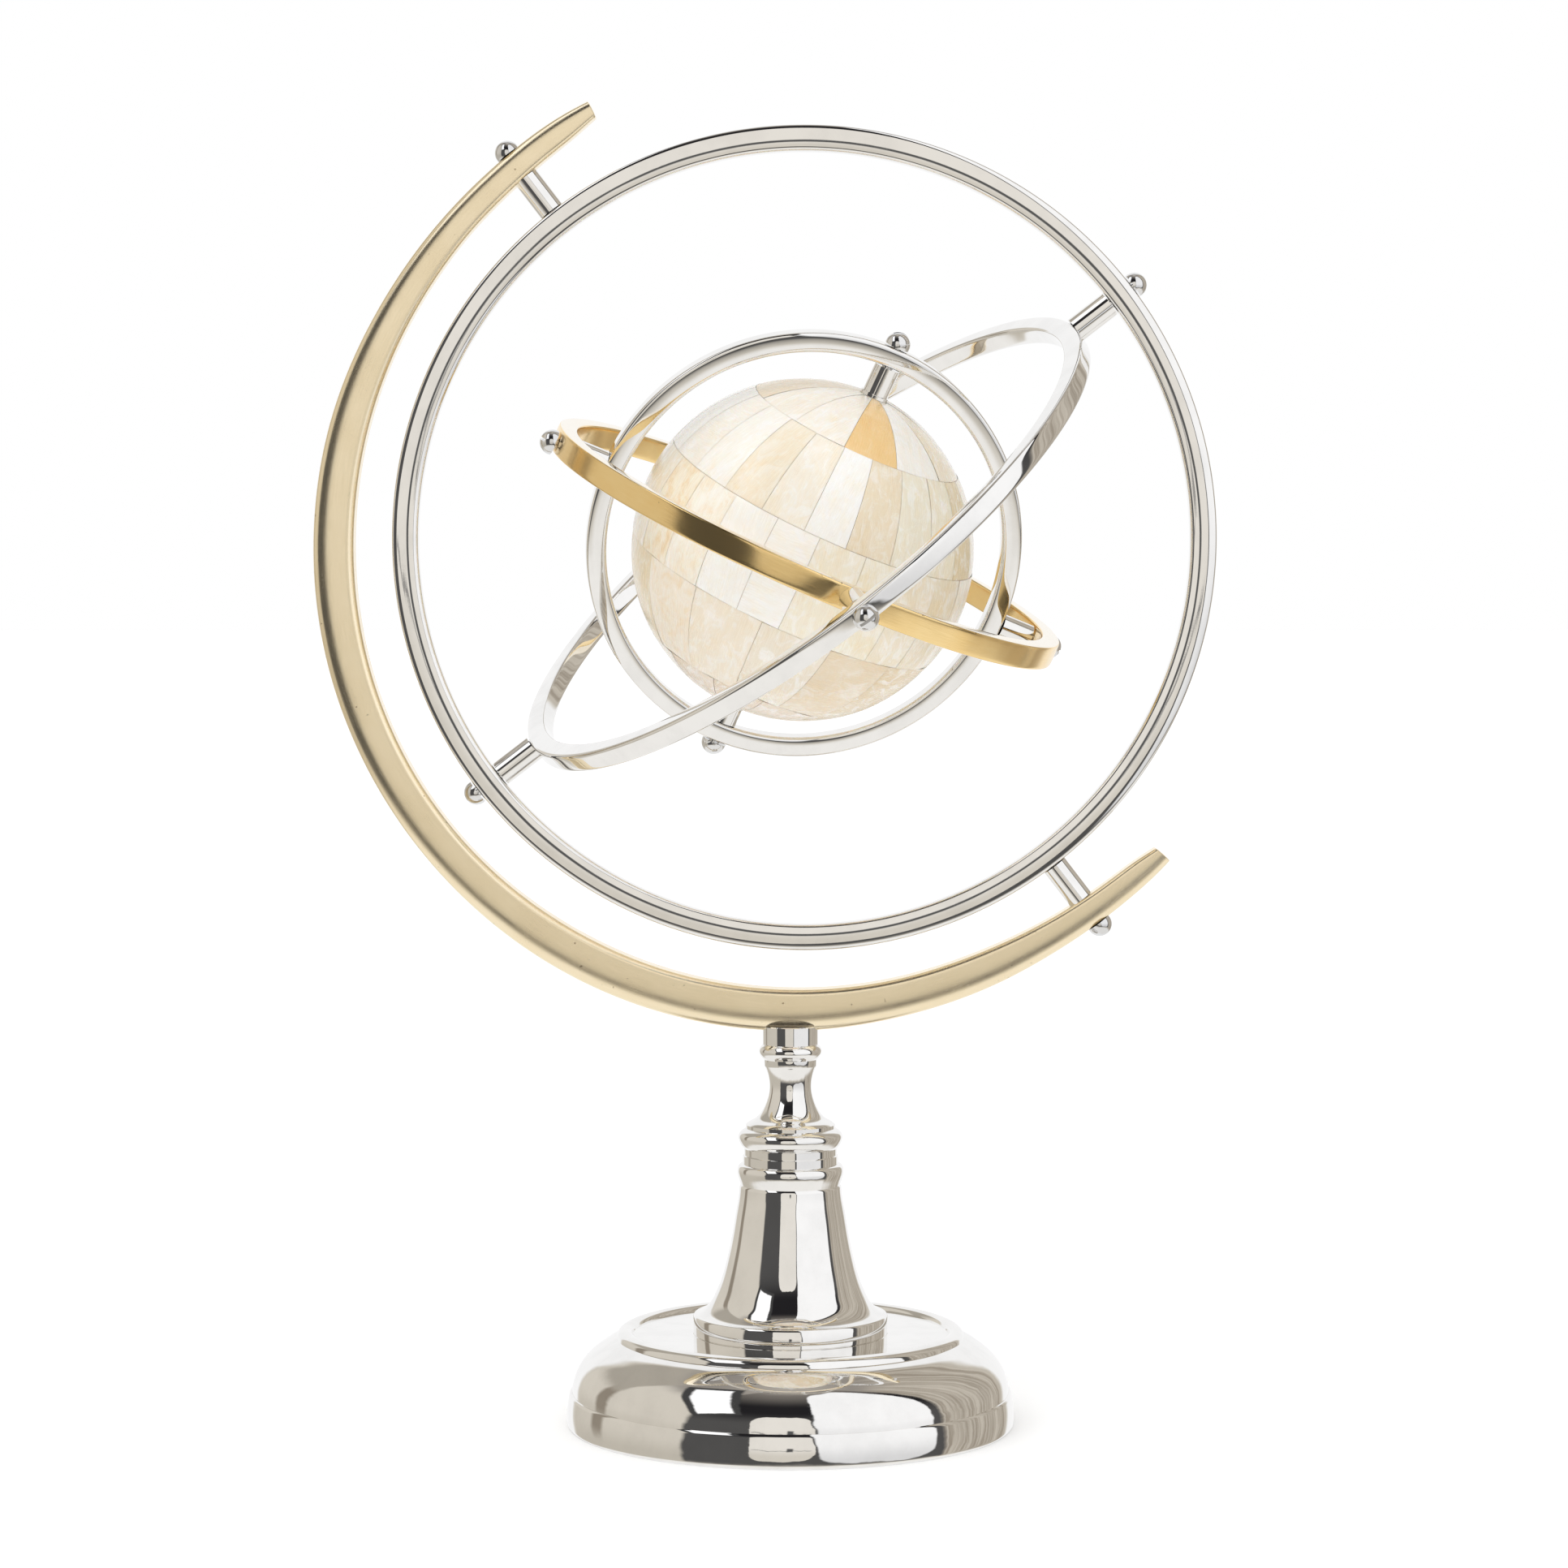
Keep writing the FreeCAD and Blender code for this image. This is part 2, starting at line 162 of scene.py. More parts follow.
def material(name):
    mat = bpy.data.materials.new(name)
    mat.use_nodes = True
    t = mat.node_tree
    for n in list(t.nodes):
        if n.type != "OUTPUT_MATERIAL":
            t.nodes.remove(n)
    T = Tree(t)
    p = T.add("ShaderNodeBsdfPrincipled")
    t.links.new(p.outputs[0], next(n for n in t.nodes if n.type == "OUTPUT_MATERIAL").inputs[0])
    return mat, T, p


def nickel(name, base=(0.905, 0.897, 0.882), rough=0.022, wave=0.05, brushed=0.0):
    """Mirror-polished nickel plate: soft buffing waves, faint smears and hairlines."""
    mat, T, p = material(name)
    obj = T.add("ShaderNodeTexCoord").outputs["Object"]
    smear = T.noise(obj, 70.0, 4.0, 0.6)
    fine = T.noise(obj, 900.0, 2.0, 0.6)
    hair = T.noise(T.scaled(obj, (260.0, 4200.0, 900.0), (0.3, 0.5, 0.9)), 1.0, 2.0, 0.7)
    col = T.mix(T.ramp01(smear, 0.35, 0.75), base, tuple(c * 0.93 for c in base))
    T.put(p.inputs["Base Color"], col)
    p.inputs["Metallic"].default_value = 1.0
    r = T.m("ADD", T.ramp01(smear, 0.4, 0.8, rough, rough + 0.035),
            T.ramp01(hair, 0.6, 0.8, 0.0, 0.03))
    T.put(p.inputs["Roughness"], T.m("ADD", r, T.ramp01(fine, 0.5, 0.8, 0.0, 0.012)))
    wav = T.noise(obj, 38.0, 1.5, 0.4)
    n1_ = T.bump(wav, wave, 0.0022)
    n2_ = T.bump(hair, 0.02, 0.00004, n1_)
    T.put(p.inputs["Normal"], n2_)
    return mat


def brass(name, light, dark, rough, stretch_strength, wave):
    """Brass with fine lines that run along the length of the piece (U of its map)."""
    mat, T, p = material(name)
    tc = T.add("ShaderNodeTexCoord")
    uv, obj = tc.outputs["UV"], tc.outputs["Object"]
    # U and V are in metres along and across the piece
    line = T.noise(T.scaled(uv, (90.0, 5200.0, 1.0)), 1.0, 3.0, 0.65)
    line2 = T.noise(T.scaled(uv, (400.0, 14000.0, 1.0)), 1.0, 2.0, 0.6)
    grain = T.noise(obj, 2600.0, 2.0, 0.7)
    cloud = T.noise(obj, 45.0, 4.0, 0.6)
    spot = T.noise(obj, 420.0, 2.0, 0.5)
    mixf = T.m("ADD", T.m("MULTIPLY", T.ramp01(cloud, 0.3, 0.75), 0.55),
               T.m("MULTIPLY", T.ramp01(line, 0.35, 0.7), 0.45))
    col = T.mix(mixf, light, dark)
    col = T.mix(T.ramp01(spot, 0.735, 0.765, 0.0, 0.55), col, (0.16, 0.10, 0.045))
    T.put(p.inputs["Base Color"], col)
    p.inputs["Metallic"].default_value = 1.0
    r = T.m("ADD", T.ramp01(line, 0.3, 0.75, rough, rough + 0.09),
            T.ramp01(cloud, 0.3, 0.8, 0.0, 0.05))
    T.put(p.inputs["Roughness"], T.m("ADD", r, T.ramp01(grain, 0.4, 0.8, 0.0, 0.04)))
    b = T.bump(T.noise(obj, 40.0, 1.0, 0.4), wave, 0.0016)
    b = T.bump(line, stretch_strength, 0.00005, b)
    b = T.bump(line2, stretch_strength * 0.6, 0.00003, b)
    b = T.bump(grain, stretch_strength * 0.3, 0.00003, b)
    T.put(p.inputs["Normal"], b)
    return mat


def bone():
    """Polished bone tiles: colour per tile (the tile's own tone with painted shade in it), faint fibre along
    each tile, clouds and stains.
    """
    mat, T, p = material("bone_tiles")
    tile = T.add("ShaderNodeVertexColor", layer_name="tile")
    stain = T.add("ShaderNodeVertexColor", layer_name="stain")
    tc = T.add("ShaderNodeTexCoord")
    uv = tc.outputs["UV"]      # metres, turned and offset for each tile
    fibre = T.noise(T.scaled(uv, (55.0, 620.0, 1.0)), 1.0, 4.0, 0.6, 0.4)
    fibre2 = T.noise(T.scaled(uv, (160.0, 2600.0, 1.0)), 1.0, 3.0, 0.6, 0.2)
    cloud = T.noise(T.scaled(uv, (60.0, 100.0, 1.0)), 1.0, 4.0, 0.62, 0.8)
    cloud2 = T.noise(T.scaled(uv, (130.0, 190.0, 1.0)), 1.0, 5.0, 0.65, 1.2)
    pore = T.noise(T.scaled(uv, (700.0, 2600.0, 1.0)), 1.0, 2.0, 0.5)
    crack = T.noise(T.scaled(uv, (45.0, 210.0, 1.0)), 1.0, 5.0, 0.6, 1.6)
    # the per-tile colour carries painted shade: lighter on top, darker low down and at larger longitude
    col = tile.outputs["Color"]
    col = T.mix(T.ramp01(fibre, 0.38, 0.72, 0.0, 0.20), col,
                T.mix(1.0, col, (0.94, 0.87, 0.76), "MULTIPLY"))
    col = T.mix(T.ramp01(cloud, 0.46, 0.74, 0.0, 0.55), col,
                T.mix(1.0, col, (0.965, 0.885, 0.74), "MULTIPLY"))
    white = T.m("MULTIPLY", T.ramp01(cloud2, 0.34, 0.54, 0.62, 0.0),
                T.m("SUBTRACT", 1.0, T.m("MINIMUM", T.m("MULTIPLY", stain.outputs["Color"], 2.2), 0.9)))
    col = T.mix(white, col, (0.975, 0.965, 0.945))
    amber = T.m("MULTIPLY", stain.outputs["Color"], T.ramp01(cloud2, 0.40, 0.72))
    col = T.mix(T.m("MULTIPLY", amber, 0.75), col, (0.84, 0.58, 0.28))
    line = T.m("ABSOLUTE", T.m("SUBTRACT", crack, 0.5))
    col = T.mix(T.ramp01(line, 0.0, 0.0040, 0.30, 0.0), col, (0.60, 0.42, 0.24))
    col = T.mix(T.ramp01(pore, 0.72, 0.80, 0.0, 0.22), col, (0.76, 0.62, 0.42))
    T.put(p.inputs["Base Color"], col)
    p.inputs["Metallic"].default_value = 0.0
    T.put(p.inputs["Roughness"], T.m("ADD", T.ramp01(fibre2, 0.3, 0.75, 0.20, 0.30),
                                     T.ramp01(cloud, 0.4, 0.8, 0.0, 0.06)))
    p.inputs["IOR"].default_value = 1.54
    p.inputs["Subsurface Weight"].default_value = 0.18
    p.inputs["Subsurface Radius"].default_value = (0.0030, 0.0018, 0.0010)
    p.inputs["Subsurface Scale"].default_value = 1.0
    p.inputs["Coat Weight"].default_value = 0.25
    p.inputs["Coat Roughness"].default_value = 0.12
    b = T.bump(T.noise(T.scaled(uv, (70.0, 110.0, 1.0)), 1.0, 2.0, 0.5), 0.10, 0.0006)
    b = T.bump(fibre2, 0.10, 0.00008, b)
    b = T.bump(pore, 0.06, 0.00008, b)
    T.put(p.inputs["Normal"], b)
    return mat


def seam_filler():
    mat, T, p = material("seam_filler")
    obj = T.add("ShaderNodeTexCoord").outputs["Object"]
    f = T.noise(obj, 260.0, 4.0, 0.6)
    T.put(p.inputs["Base Color"], T.mix(T.ramp01(T.noise(obj, 75.0, 3.0, 0.6), 0.50, 0.66), (0.80, 0.67, 0.48), (0.33, 0.19, 0.08)))
    T.put(p.inputs["Roughness"], T.ramp01(f, 0.3, 0.7, 0.5, 0.75))
    T.put(p.inputs["Normal"], T.bump(f, 0.3, 0.0002))
    return mat


def felt():
    mat, T, p = material("felt_pad")
    obj = T.add("ShaderNodeTexCoord").outputs["Object"]
    f = T.noise(obj, 3200.0, 4.0, 0.7)
    c = T.noise(obj, 90.0, 3.0, 0.6)
    T.put(p.inputs["Base Color"], T.mix(T.m("MULTIPLY", f, c), (0.020, 0.020, 0.022), (0.085, 0.085, 0.088)))
    p.inputs["Roughness"].default_value = 0.95
    p.inputs["Sheen Weight"].default_value = 0.35
    p.inputs["Sheen Roughness"].default_value = 0.5
    T.put(p.inputs["Normal"], T.bump(f, 0.6, 0.0004))
    return mat


def steel():
    mat, T, p = material("plain_steel")
    obj = T.add("ShaderNodeTexCoord").outputs["Object"]
    ring = T.noise(T.scaled(obj, (500.0, 500.0, 5000.0)), 1.0, 2.0, 0.6)
    cloud = T.noise(obj, 160.0, 4.0, 0.6)
    T.put(p.inputs["Base Color"], T.mix(cloud, (0.50, 0.50, 0.51), (0.66, 0.66, 0.67)))
    p.inputs["Metallic"].default_value = 1.0
    T.put(p.inputs["Roughness"], T.ramp01(ring, 0.3, 0.7, 0.24, 0.38))
    T.put(p.inputs["Normal"], T.bump(ring, 0.15, 0.00005))
    return mat


def resin():
    mat, T, p = material("core_resin")
    obj = T.add("ShaderNodeTexCoord").outputs["Object"]
    f = T.noise(obj, 120.0, 5.0, 0.6)
    T.put(p.inputs["Base Color"], T.mix(f, (0.20, 0.13, 0.07), (0.34, 0.24, 0.14)))
    T.put(p.inputs["Roughness"], T.ramp01(f, 0.3, 0.7, 0.5, 0.7))
    T.put(p.inputs["Normal"], T.bump(f, 0.3, 0.0003))
    return mat


NICKEL = nickel("nickel_mirror", wave=0.085)
NICKEL_RING = nickel("nickel_ring", wave=0.03)
NICKEL_SCREW = nickel("nickel_screw", base=(0.80, 0.80, 0.80), rough=0.08, wave=0.03)
SATIN = brass("brass_satin", (1.000, 0.880, 0.650), (0.985, 0.845, 0.590), 0.155, 0.045, 0.010)
SIDE = brass("brass_side", (0.985, 0.915, 0.790), (0.975, 0.885, 0.730), 0.030, 0.03, 0.03)
POLISHED = brass("brass_polished", (0.985, 0.757, 0.388), (0.945, 0.668, 0.288), 0.085, 0.11, 0.05)
BONE, FILLER, FELT, STEEL, RESIN = bone(), seam_filler(), felt(), steel(), resin()


# ------------------------------------------------------------------ mesh helpers
def spline(pts, per=6):
    """Natural cubic through the points, by chord length."""
    P = np.array(pts, float)
    n = len(P)
    if n < 3:
        return P
    t = np.concatenate([[0], np.cumsum(np.linalg.norm(np.diff(P, axis=0), axis=1))])
    h = np.diff(t)
    A = np.eye(n)
    B = np.zeros((n, P.shape[1]))
    for i in range(1, n - 1):
        A[i, i - 1], A[i, i], A[i, i + 1] = h[i - 1], 2 * (h[i - 1] + h[i]), h[i]
        B[i] = 6 * ((P[i + 1] - P[i]) / h[i] - (P[i] - P[i - 1]) / h[i - 1])
    M = np.linalg.solve(A, B)
    out = []
    for i in range(n - 1):
        for k in range(per):
            u = k / per * h[i]
            a, b = M[i], M[i + 1]
            out.append(P[i] + u * ((P[i + 1] - P[i]) / h[i] - h[i] * (2 * a + b) / 6)
                       + u * u * a / 2 + u ** 3 * (b - a) / (6 * h[i]))
    out.append(P[-1])
    return np.array(out)


def grid_object(name, rows, us, vs, close_u, close_v, mat, body, node, sharp=38.0):
    """rows[i][j] are points in mm; i runs along (U), j across (V)."""
    nu, nv = len(rows), len(rows[0])
    verts = [tuple(c * MM for c in p) for row in rows for p in row]
    faces, uvs = [], []
    for i in range(nu if close_u else nu - 1):
        i2 = (i + 1) % nu
        u0, u1 = us[i], us[i + 1]
        for j in range(nv if close_v else nv - 1):
            j2 = (j + 1) % nv
            faces.append((i * nv + j, i * nv + j2, i2 * nv + j2, i2 * nv + j))
            uvs += [(u0, vs[j]), (u0, vs[j + 1]), (u1, vs[j + 1]), (u1, vs[j])]
    me = bpy.data.meshes.new(name)
    me.from_pydata(verts, [], faces)
    layer = me.uv_layers.new(name="UVMap")
    layer.data.foreach_set("uv", [c * MM for q in uvs for c in q])
    bm = bmesh.new()
    bm.from_mesh(me)
    bmesh.ops.remove_doubles(bm, verts=bm.verts, dist=1e-7)
    bmesh.ops.recalc_face_normals(bm, faces=bm.faces)
    bm.to_mesh(me)
    bm.free()
    me.shade_smooth()
    me.set_sharp_from_angle(angle=math.radians(sharp))
    me.materials.append(mat)
    ob = bpy.data.objects.new(name, me)
    bpy.context.scene.collection.objects.link(ob)
    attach(ob, body)
    if node:
        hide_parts(node)
    return ob


def lathe(name, profile, origin, x, y, z, mat, body, node, seg=288, closed=True, sharp=38.0):
    """Turn the (radius, height) profile about z."""
    prof = [tuple(p) for p in profile]
    v = [0.0]
    for a, b in zip(prof, prof[1:] + prof[:1]):
        v.append(v[-1] + math.hypot(a[0] - b[0], a[1] - b[1]))
    rmax = max(r for r, _ in prof)
    rows, us = [], []
    for i in range(seg):
        a = 2 * math.pi * i / seg
        d = x * math.cos(a) + y * math.sin(a)
        rows.append([origin + d * r + z * h for r, h in prof])
        us.append(a * rmax)
    us.append(2 * math.pi * rmax)
    return grid_object(name, rows, us, v, True, closed, mat, body, node, sharp)


def profile(segments, bore=None):
    """The segment lists of the CAD source as one dense closed profile."""
    pts = []
    for kind, seg in segments:
        q = spline(seg, 7) if kind == "S" else np.array(seg, float)
        for p in q:
            if not pts or math.hypot(pts[-1][0] - p[0], pts[-1][1] - p[1]) > 1e-4:
                pts.append((float(p[0]), float(p[1])))
    if bore is not None:
        pts += [(bore, pts[-1][1]), (bore, pts[0][1])]
    elif math.hypot(pts[0][0] - pts[-1][0], pts[0][1] - pts[-1][1]) < 1e-4:
        pts.pop()
    return pts


X, Y, Z = Vector((1, 0, 0)), Vector((0, 1, 0)), Vector((0, 0, 1))
O = Vector((0, 0, 0))

# ------------------------------------------------------------------ base and column
FLOOR_Z, FOOT_R, FOOT_TOP, CAP_TOP, BORE = 34.1, 36.2, 41.4, 148.1, 3.2
FELT_R, FELT_T, HOLLOW_R, CEIL = 76.0, 1.6, 54.0, 28.5
stand = []
stand.append(lathe("base_dome_polished", profile([
    ("L", [(FELT_R, 0.0), (82.3, 0.0)]),
    ("S", [(82.3, 0.0), (83.0, 0.5), (83.3, 1.6), (83.4, 4.0), (83.1, 8.1), (82.5, 11.7)]),
    ("L", [(82.5, 11.7), (82.1, 12.3), (81.5, 12.4)]),
    ("S", [(81.5, 12.4), (81.2, 14.9), (80.2, 18.5), (78.2, 22.4), (74.8, 26.3),
           (70.6, 29.5), (67.2, 31.6), (64.8, 32.7)]),
    ("S", [(64.8, 32.7), (64.3, 34.4), (62.8, 35.6), (60.9, 35.9), (59.2, 35.2), (58.4, FLOOR_Z)]),
    ("L", [(58.4, FLOOR_Z), (BORE, FLOOR_Z), (BORE, CEIL), (HOLLOW_R, CEIL),
           (HOLLOW_R, FELT_T), (FELT_R, FELT_T)]),
]), O, X, Y, Z, NICKEL, "stand", "base_dome", seg=360, sharp=30))

column = [
    ("column_foot", [
        ("L", [(FOOT_R - 0.3, FLOOR_Z), (FOOT_R, FLOOR_Z + 0.3)]),
        ("L", [(FOOT_R, FLOOR_Z + 0.3), (FOOT_R, FOOT_TOP - 0.9)]),
        ("S", [(FOOT_R, FOOT_TOP - 0.9), (FOOT_R - 0.35, FOOT_TOP - 0.25), (FOOT_R - 1.1, FOOT_TOP)])]),
    ("column_bell", [
        ("S", [(34.6, FOOT_TOP), (33.0, 42.3), (31.3, 43.7), (29.7, 45.6), (28.2, 48.5),
               (26.6, 52.1), (25.0, 56.8), (23.7, 61.9), (22.4, 67.8), (21.3, 73.9),
               (20.3, 79.9), (19.4, 85.1), (19.0, 89.2)]),
        ("L", [(19.0, 89.2), (18.6, 89.8)])]),
    ("column_bead_lower", [
        ("S", [(18.6, 89.8), (19.0, 91.1), (19.55, 92.9), (19.85, 94.8), (19.7, 96.1),
               (19.1, 97.2), (18.3, 97.7)])]),
    ("column_band", [
        ("L", [(17.8, 97.7), (17.8, 100.7)]),
        ("L", [(17.8, 100.7), (17.4, 101.1)]),
        ("L", [(17.4, 101.1), (17.4, 103.5)])]),
    ("column_bead_upper", [
        ("S", [(17.5, 103.5), (18.3, 104.4), (19.1, 106.0), (19.45, 107.8), (19.1, 109.0),
               (18.2, 110.0), (17.3, 110.6)]),
        ("L", [(17.3, 110.6), (16.7, 111.0)])]),
    ("column_neck", [
        ("L", [(16.7, 111.0), (16.7, 112.3)]),
        ("S", [(16.7, 112.3), (15.4, 113.3), (13.4, 114.4), (11.6, 116.0), (10.2, 118.1),
               (9.0, 120.8), (8.2, 123.4), (7.85, 126.3), (8.2, 129.8), (8.9, 132.2),
               (9.9, 134.4)]),
        ("L", [(9.9, 134.4), (9.9, 136.7)])]),
    ("column_bead_top", [
        ("S", [(10.1, 136.7), (11.0, 137.8), (11.75, 139.7), (11.3, 141.2), (10.5, 142.1)])]),
]
for node, seg in column:
    stand.append(lathe(node + "_polished", profile(seg, BORE), O, X, Y, Z, NICKEL,
                       "stand", node, seg=288, sharp=30))


# ------------------------------------------------------------------ crescent arc
def arc_section(angle, r_in, r_out):
    """Rounded outer side, flat inner side with softened corners."""
    a = math.radians(angle)
    f = min(1.0, abs(angle - 217.0) / 101.0)
    depth = ARC_DEPTH_MID - (ARC_DEPTH_MID - ARC_DEPTH_TIP) * f ** 1.6
    thick = r_out - r_in
    pts = []
    n = 56
    for i in range(n + 1):
        u = 2.0 * i / n - 1.0
        p = math.pi / 2 * math.copysign(1 - (1 - abs(u)) ** 1.7, u)
        sy = math.copysign(abs(math.sin(p)) ** (2 / ARC_POWER), p)
        sr = abs(math.cos(p)) ** (2 / ARC_POWER) if 0 < i < n else 0.0
        pts.append([r_in + thick * sr, depth / 2 * sy])
    for k in range(1, 16):
        pts.append([r_in, depth / 2 * (1 - 2 * k / 16)])
    P = np.array(pts)
    corner = np.minimum(np.hypot(P[:, 0] - r_in, P[:, 1] - depth / 2),
                        np.hypot(P[:, 0] - r_in, P[:, 1] + depth / 2))
    w = np.clip(1.0 - corner / 1.6, 0, 1)[:, None]
    for _ in range(10):
        P = P * (1 - 0.5 * w) + 0.25 * w * (np.roll(P, 1, 0) + np.roll(P, -1, 0))
    rad = Vector((math.cos(a), 0, math.sin(a)))
    return [C + rad * r + Y * y for r, y in P], P


table = spline(ARC, 12)
sections = [arc_section(*row)[0] for row in table]


def cap_rows(sec, outward, count=5, bulge=0.9):
    """Slightly convex end face."""
    mid = sum(sec, Vector()) / len(sec)
    out = []
    for k in range(1, count + 1):
        s = math.cos(math.pi / 2 * k / count)
        h = math.sin(math.pi / 2 * k / count) * bulge
        out.append([mid + (p - mid) * s + outward * h for p in sec])
    return out


def tangent(angle):
    a = math.radians(angle)
    return Vector((-math.sin(a), 0, math.cos(a)))


# the end faces are pulled in first so that the bulge stays inside the CAD box
start = cap_rows(sections[0], -tangent(table[0][0]), bulge=0.5)
end = cap_rows(sections[-1], tangent(table[-1][0]), bulge=0.5)
rows = start[::-1] + sections + end
us = [0.0]
for a, b in zip(rows, rows[1:]):
    us.append(us[-1] + (sum(b, Vector()) / len(b) - sum(a, Vector()) / len(a)).length)
us.append(us[-1])
vs = [0.0]
for a, b in zip(sections[100], sections[100][1:] + sections[100][:1]):
    vs.append(vs[-1] + (b - a).length)
grid_object("crescent_arc_satin", rows, us, vs, False, True, SATIN, "stand",
            "crescent_arc", sharp=50)


# ------------------------------------------------------------------ rings
def ring_profile(dims, count=132):
    """Rounded bar: nearly flat, slightly crowned faces with quick round corners."""
    r_out, r_in, width, power, crown = dims
    A, B, mid = (r_out - r_in) / 2, width / 2, (r_out + r_in) / 2
    n = 8000
    t = np.linspace(0.0, 2 * math.pi, n + 1)
    q = t - 0.98 * np.sin(4 * t) / 4
    c, s = np.cos(q), np.sin(q)
    x = np.sign(c) * np.abs(c) ** (2 / power)
    y = np.sign(s) * np.abs(s) ** (2 / power)
    P = np.stack([mid + A * x * (1 - crown * 0.4 * y * y), B * y * (1 - crown * x * x)], 1)
    d = np.diff(P, axis=0)
    step = np.hypot(d[:, 0], d[:, 1])
    turn = np.abs((np.diff(np.unwrap(np.arctan2(d[:, 1], d[:, 0])), append=0.0)))
    turn[-1] = 0.0
    w = np.concatenate([[0.0], np.cumsum(step / step.sum() + 1.3 * turn / turn.sum())])
    want = np.linspace(0.0, w[-1], count + 1)[:-1]
    return list(zip(np.interp(want, w, P[:, 0]).tolist(), np.interp(want, w, P[:, 1]).tolist()))


for name, dims, own, normal, centre, mat, body, slot in (
        ("ring_1", R1, ax1, n1, C, NICKEL_RING, "ring_one", "nickel"),
        ("ring_2", R2, ax2, n2, C, NICKEL_RING, "ring_two", "nickel"),
        ("ring_3", R3, ax3, n3, C3, POLISHED, "ring_three", "polished_brass"),
        ("ring_4", R4, ax4, n4, C4, NICKEL_RING, "ring_four", "nickel")):
    ring = lathe(name + "_polished", ring_profile(dims), centre, own, normal.cross(own), normal,
                 mat, body, name, seg=384, sharp=60)
    if name == "ring_3":
        ring.data.materials.append(SIDE)        # the flat sides are buffed brighter
        for poly in ring.data.polygons:
            if abs(poly.normal.dot(normal)) > 0.85:
                poly.material_index = 1


# ------------------------------------------------------------------ globe mosaic
rng = random.Random(41)
gz = ax5.copy()
gx = Vector((0, -1, 0))
gx = (gx - gz * gx.dot(gz)).normalized()
gy = gz.cross(gx)


def srgb(h):
    out = []
    for k in (0, 2, 4):
        c = int(h[k:k + 2], 16) / 255
        out.append(c / 12.92 if c <= 0.04045 else ((c + 0.055) / 1.055) ** 2.4)
    return tuple(out)


IVORY = ["F8F2E6", "F6EFE0", "F9F5EC", "F3EAD8", "F7F1E6", "F1E7D2", "FAF7F0", "F4ECDD"]
CREAM = ["F0E4CC", "EEDFC4", "F2E8D4", "EBDDC0"]
# rows: lower and upper latitude, first seam, number of tiles, colours by seam longitude. The listed colours
# are each tile's own tone with painted shade in them: lighter on the top rows, darker on the lower rows and at
# larger longitude.
TILE_ROWS_TONE_AND_SHADE = [
    (50.0, 89.0, -32.8, 12, {-32.8: "F8F1E5", -2.8: "F3CF93", 27.2: "F8F4EC", 57.2: "EFE3CB",
                             -62.8: "F6EFE2"}),
    (17.0, 50.0, -52.1, 22, {-52.1: "F9F5EC", -35.7: "F4EAD6", -19.4: "F7F0E2", -3.0: "FBF9F4",
                             13.4: "ECDFC6", 29.7: "EFE9D6", 46.1: "EEE6D0", 62.5: "E3D2AE"}),
    (-16.5, 17.0, -45.2, 22, {-45.2: "FCF7EC", -28.8: "FCF9F2", -12.5: "FCF9F3", 3.9: "F5EEDC",
                              20.3: "F3ECD8", 36.6: "F0E7D3", 53.0: "EBE0C8", -61.6: "FAF1DE"}),
    (-51.5, -16.5, -54.0, 14, {-54.0: "F7EEDF", -28.3: "F3E9D7", -2.6: "EFE6D5", 23.1: "E8DAC2",
                               48.9: "E1CFAD"}),
    (-89.0, -51.5, -45.0, 12, {-45.0: "E6D6C1", -15.0: "E4D3BC", 15.0: "E6D7C2", 45.0: "E1CFB3"}),
]
STAINS = {(1, -35.7): 0.30, (1, -19.4): 0.12, (2, -61.6): 0.80, (2, -45.2): 0.45, (3, -54.0): 0.50,
          (3, 23.1): 0.22, (0, -2.8): 0.40, (2, 3.9): 0.10, (1, 29.7): 0.12, (3, -28.3): 0.16,
          (2, 20.3): 0.15, (1, 13.4): 0.18}


def on_globe(lat, lon, r):
    la, lo = math.radians(lat), math.radians(lon)
    d = gx * (math.cos(la) * math.cos(lo)) + gy * (math.cos(la) * math.sin(lo)) + gz * math.sin(la)
    return d * r


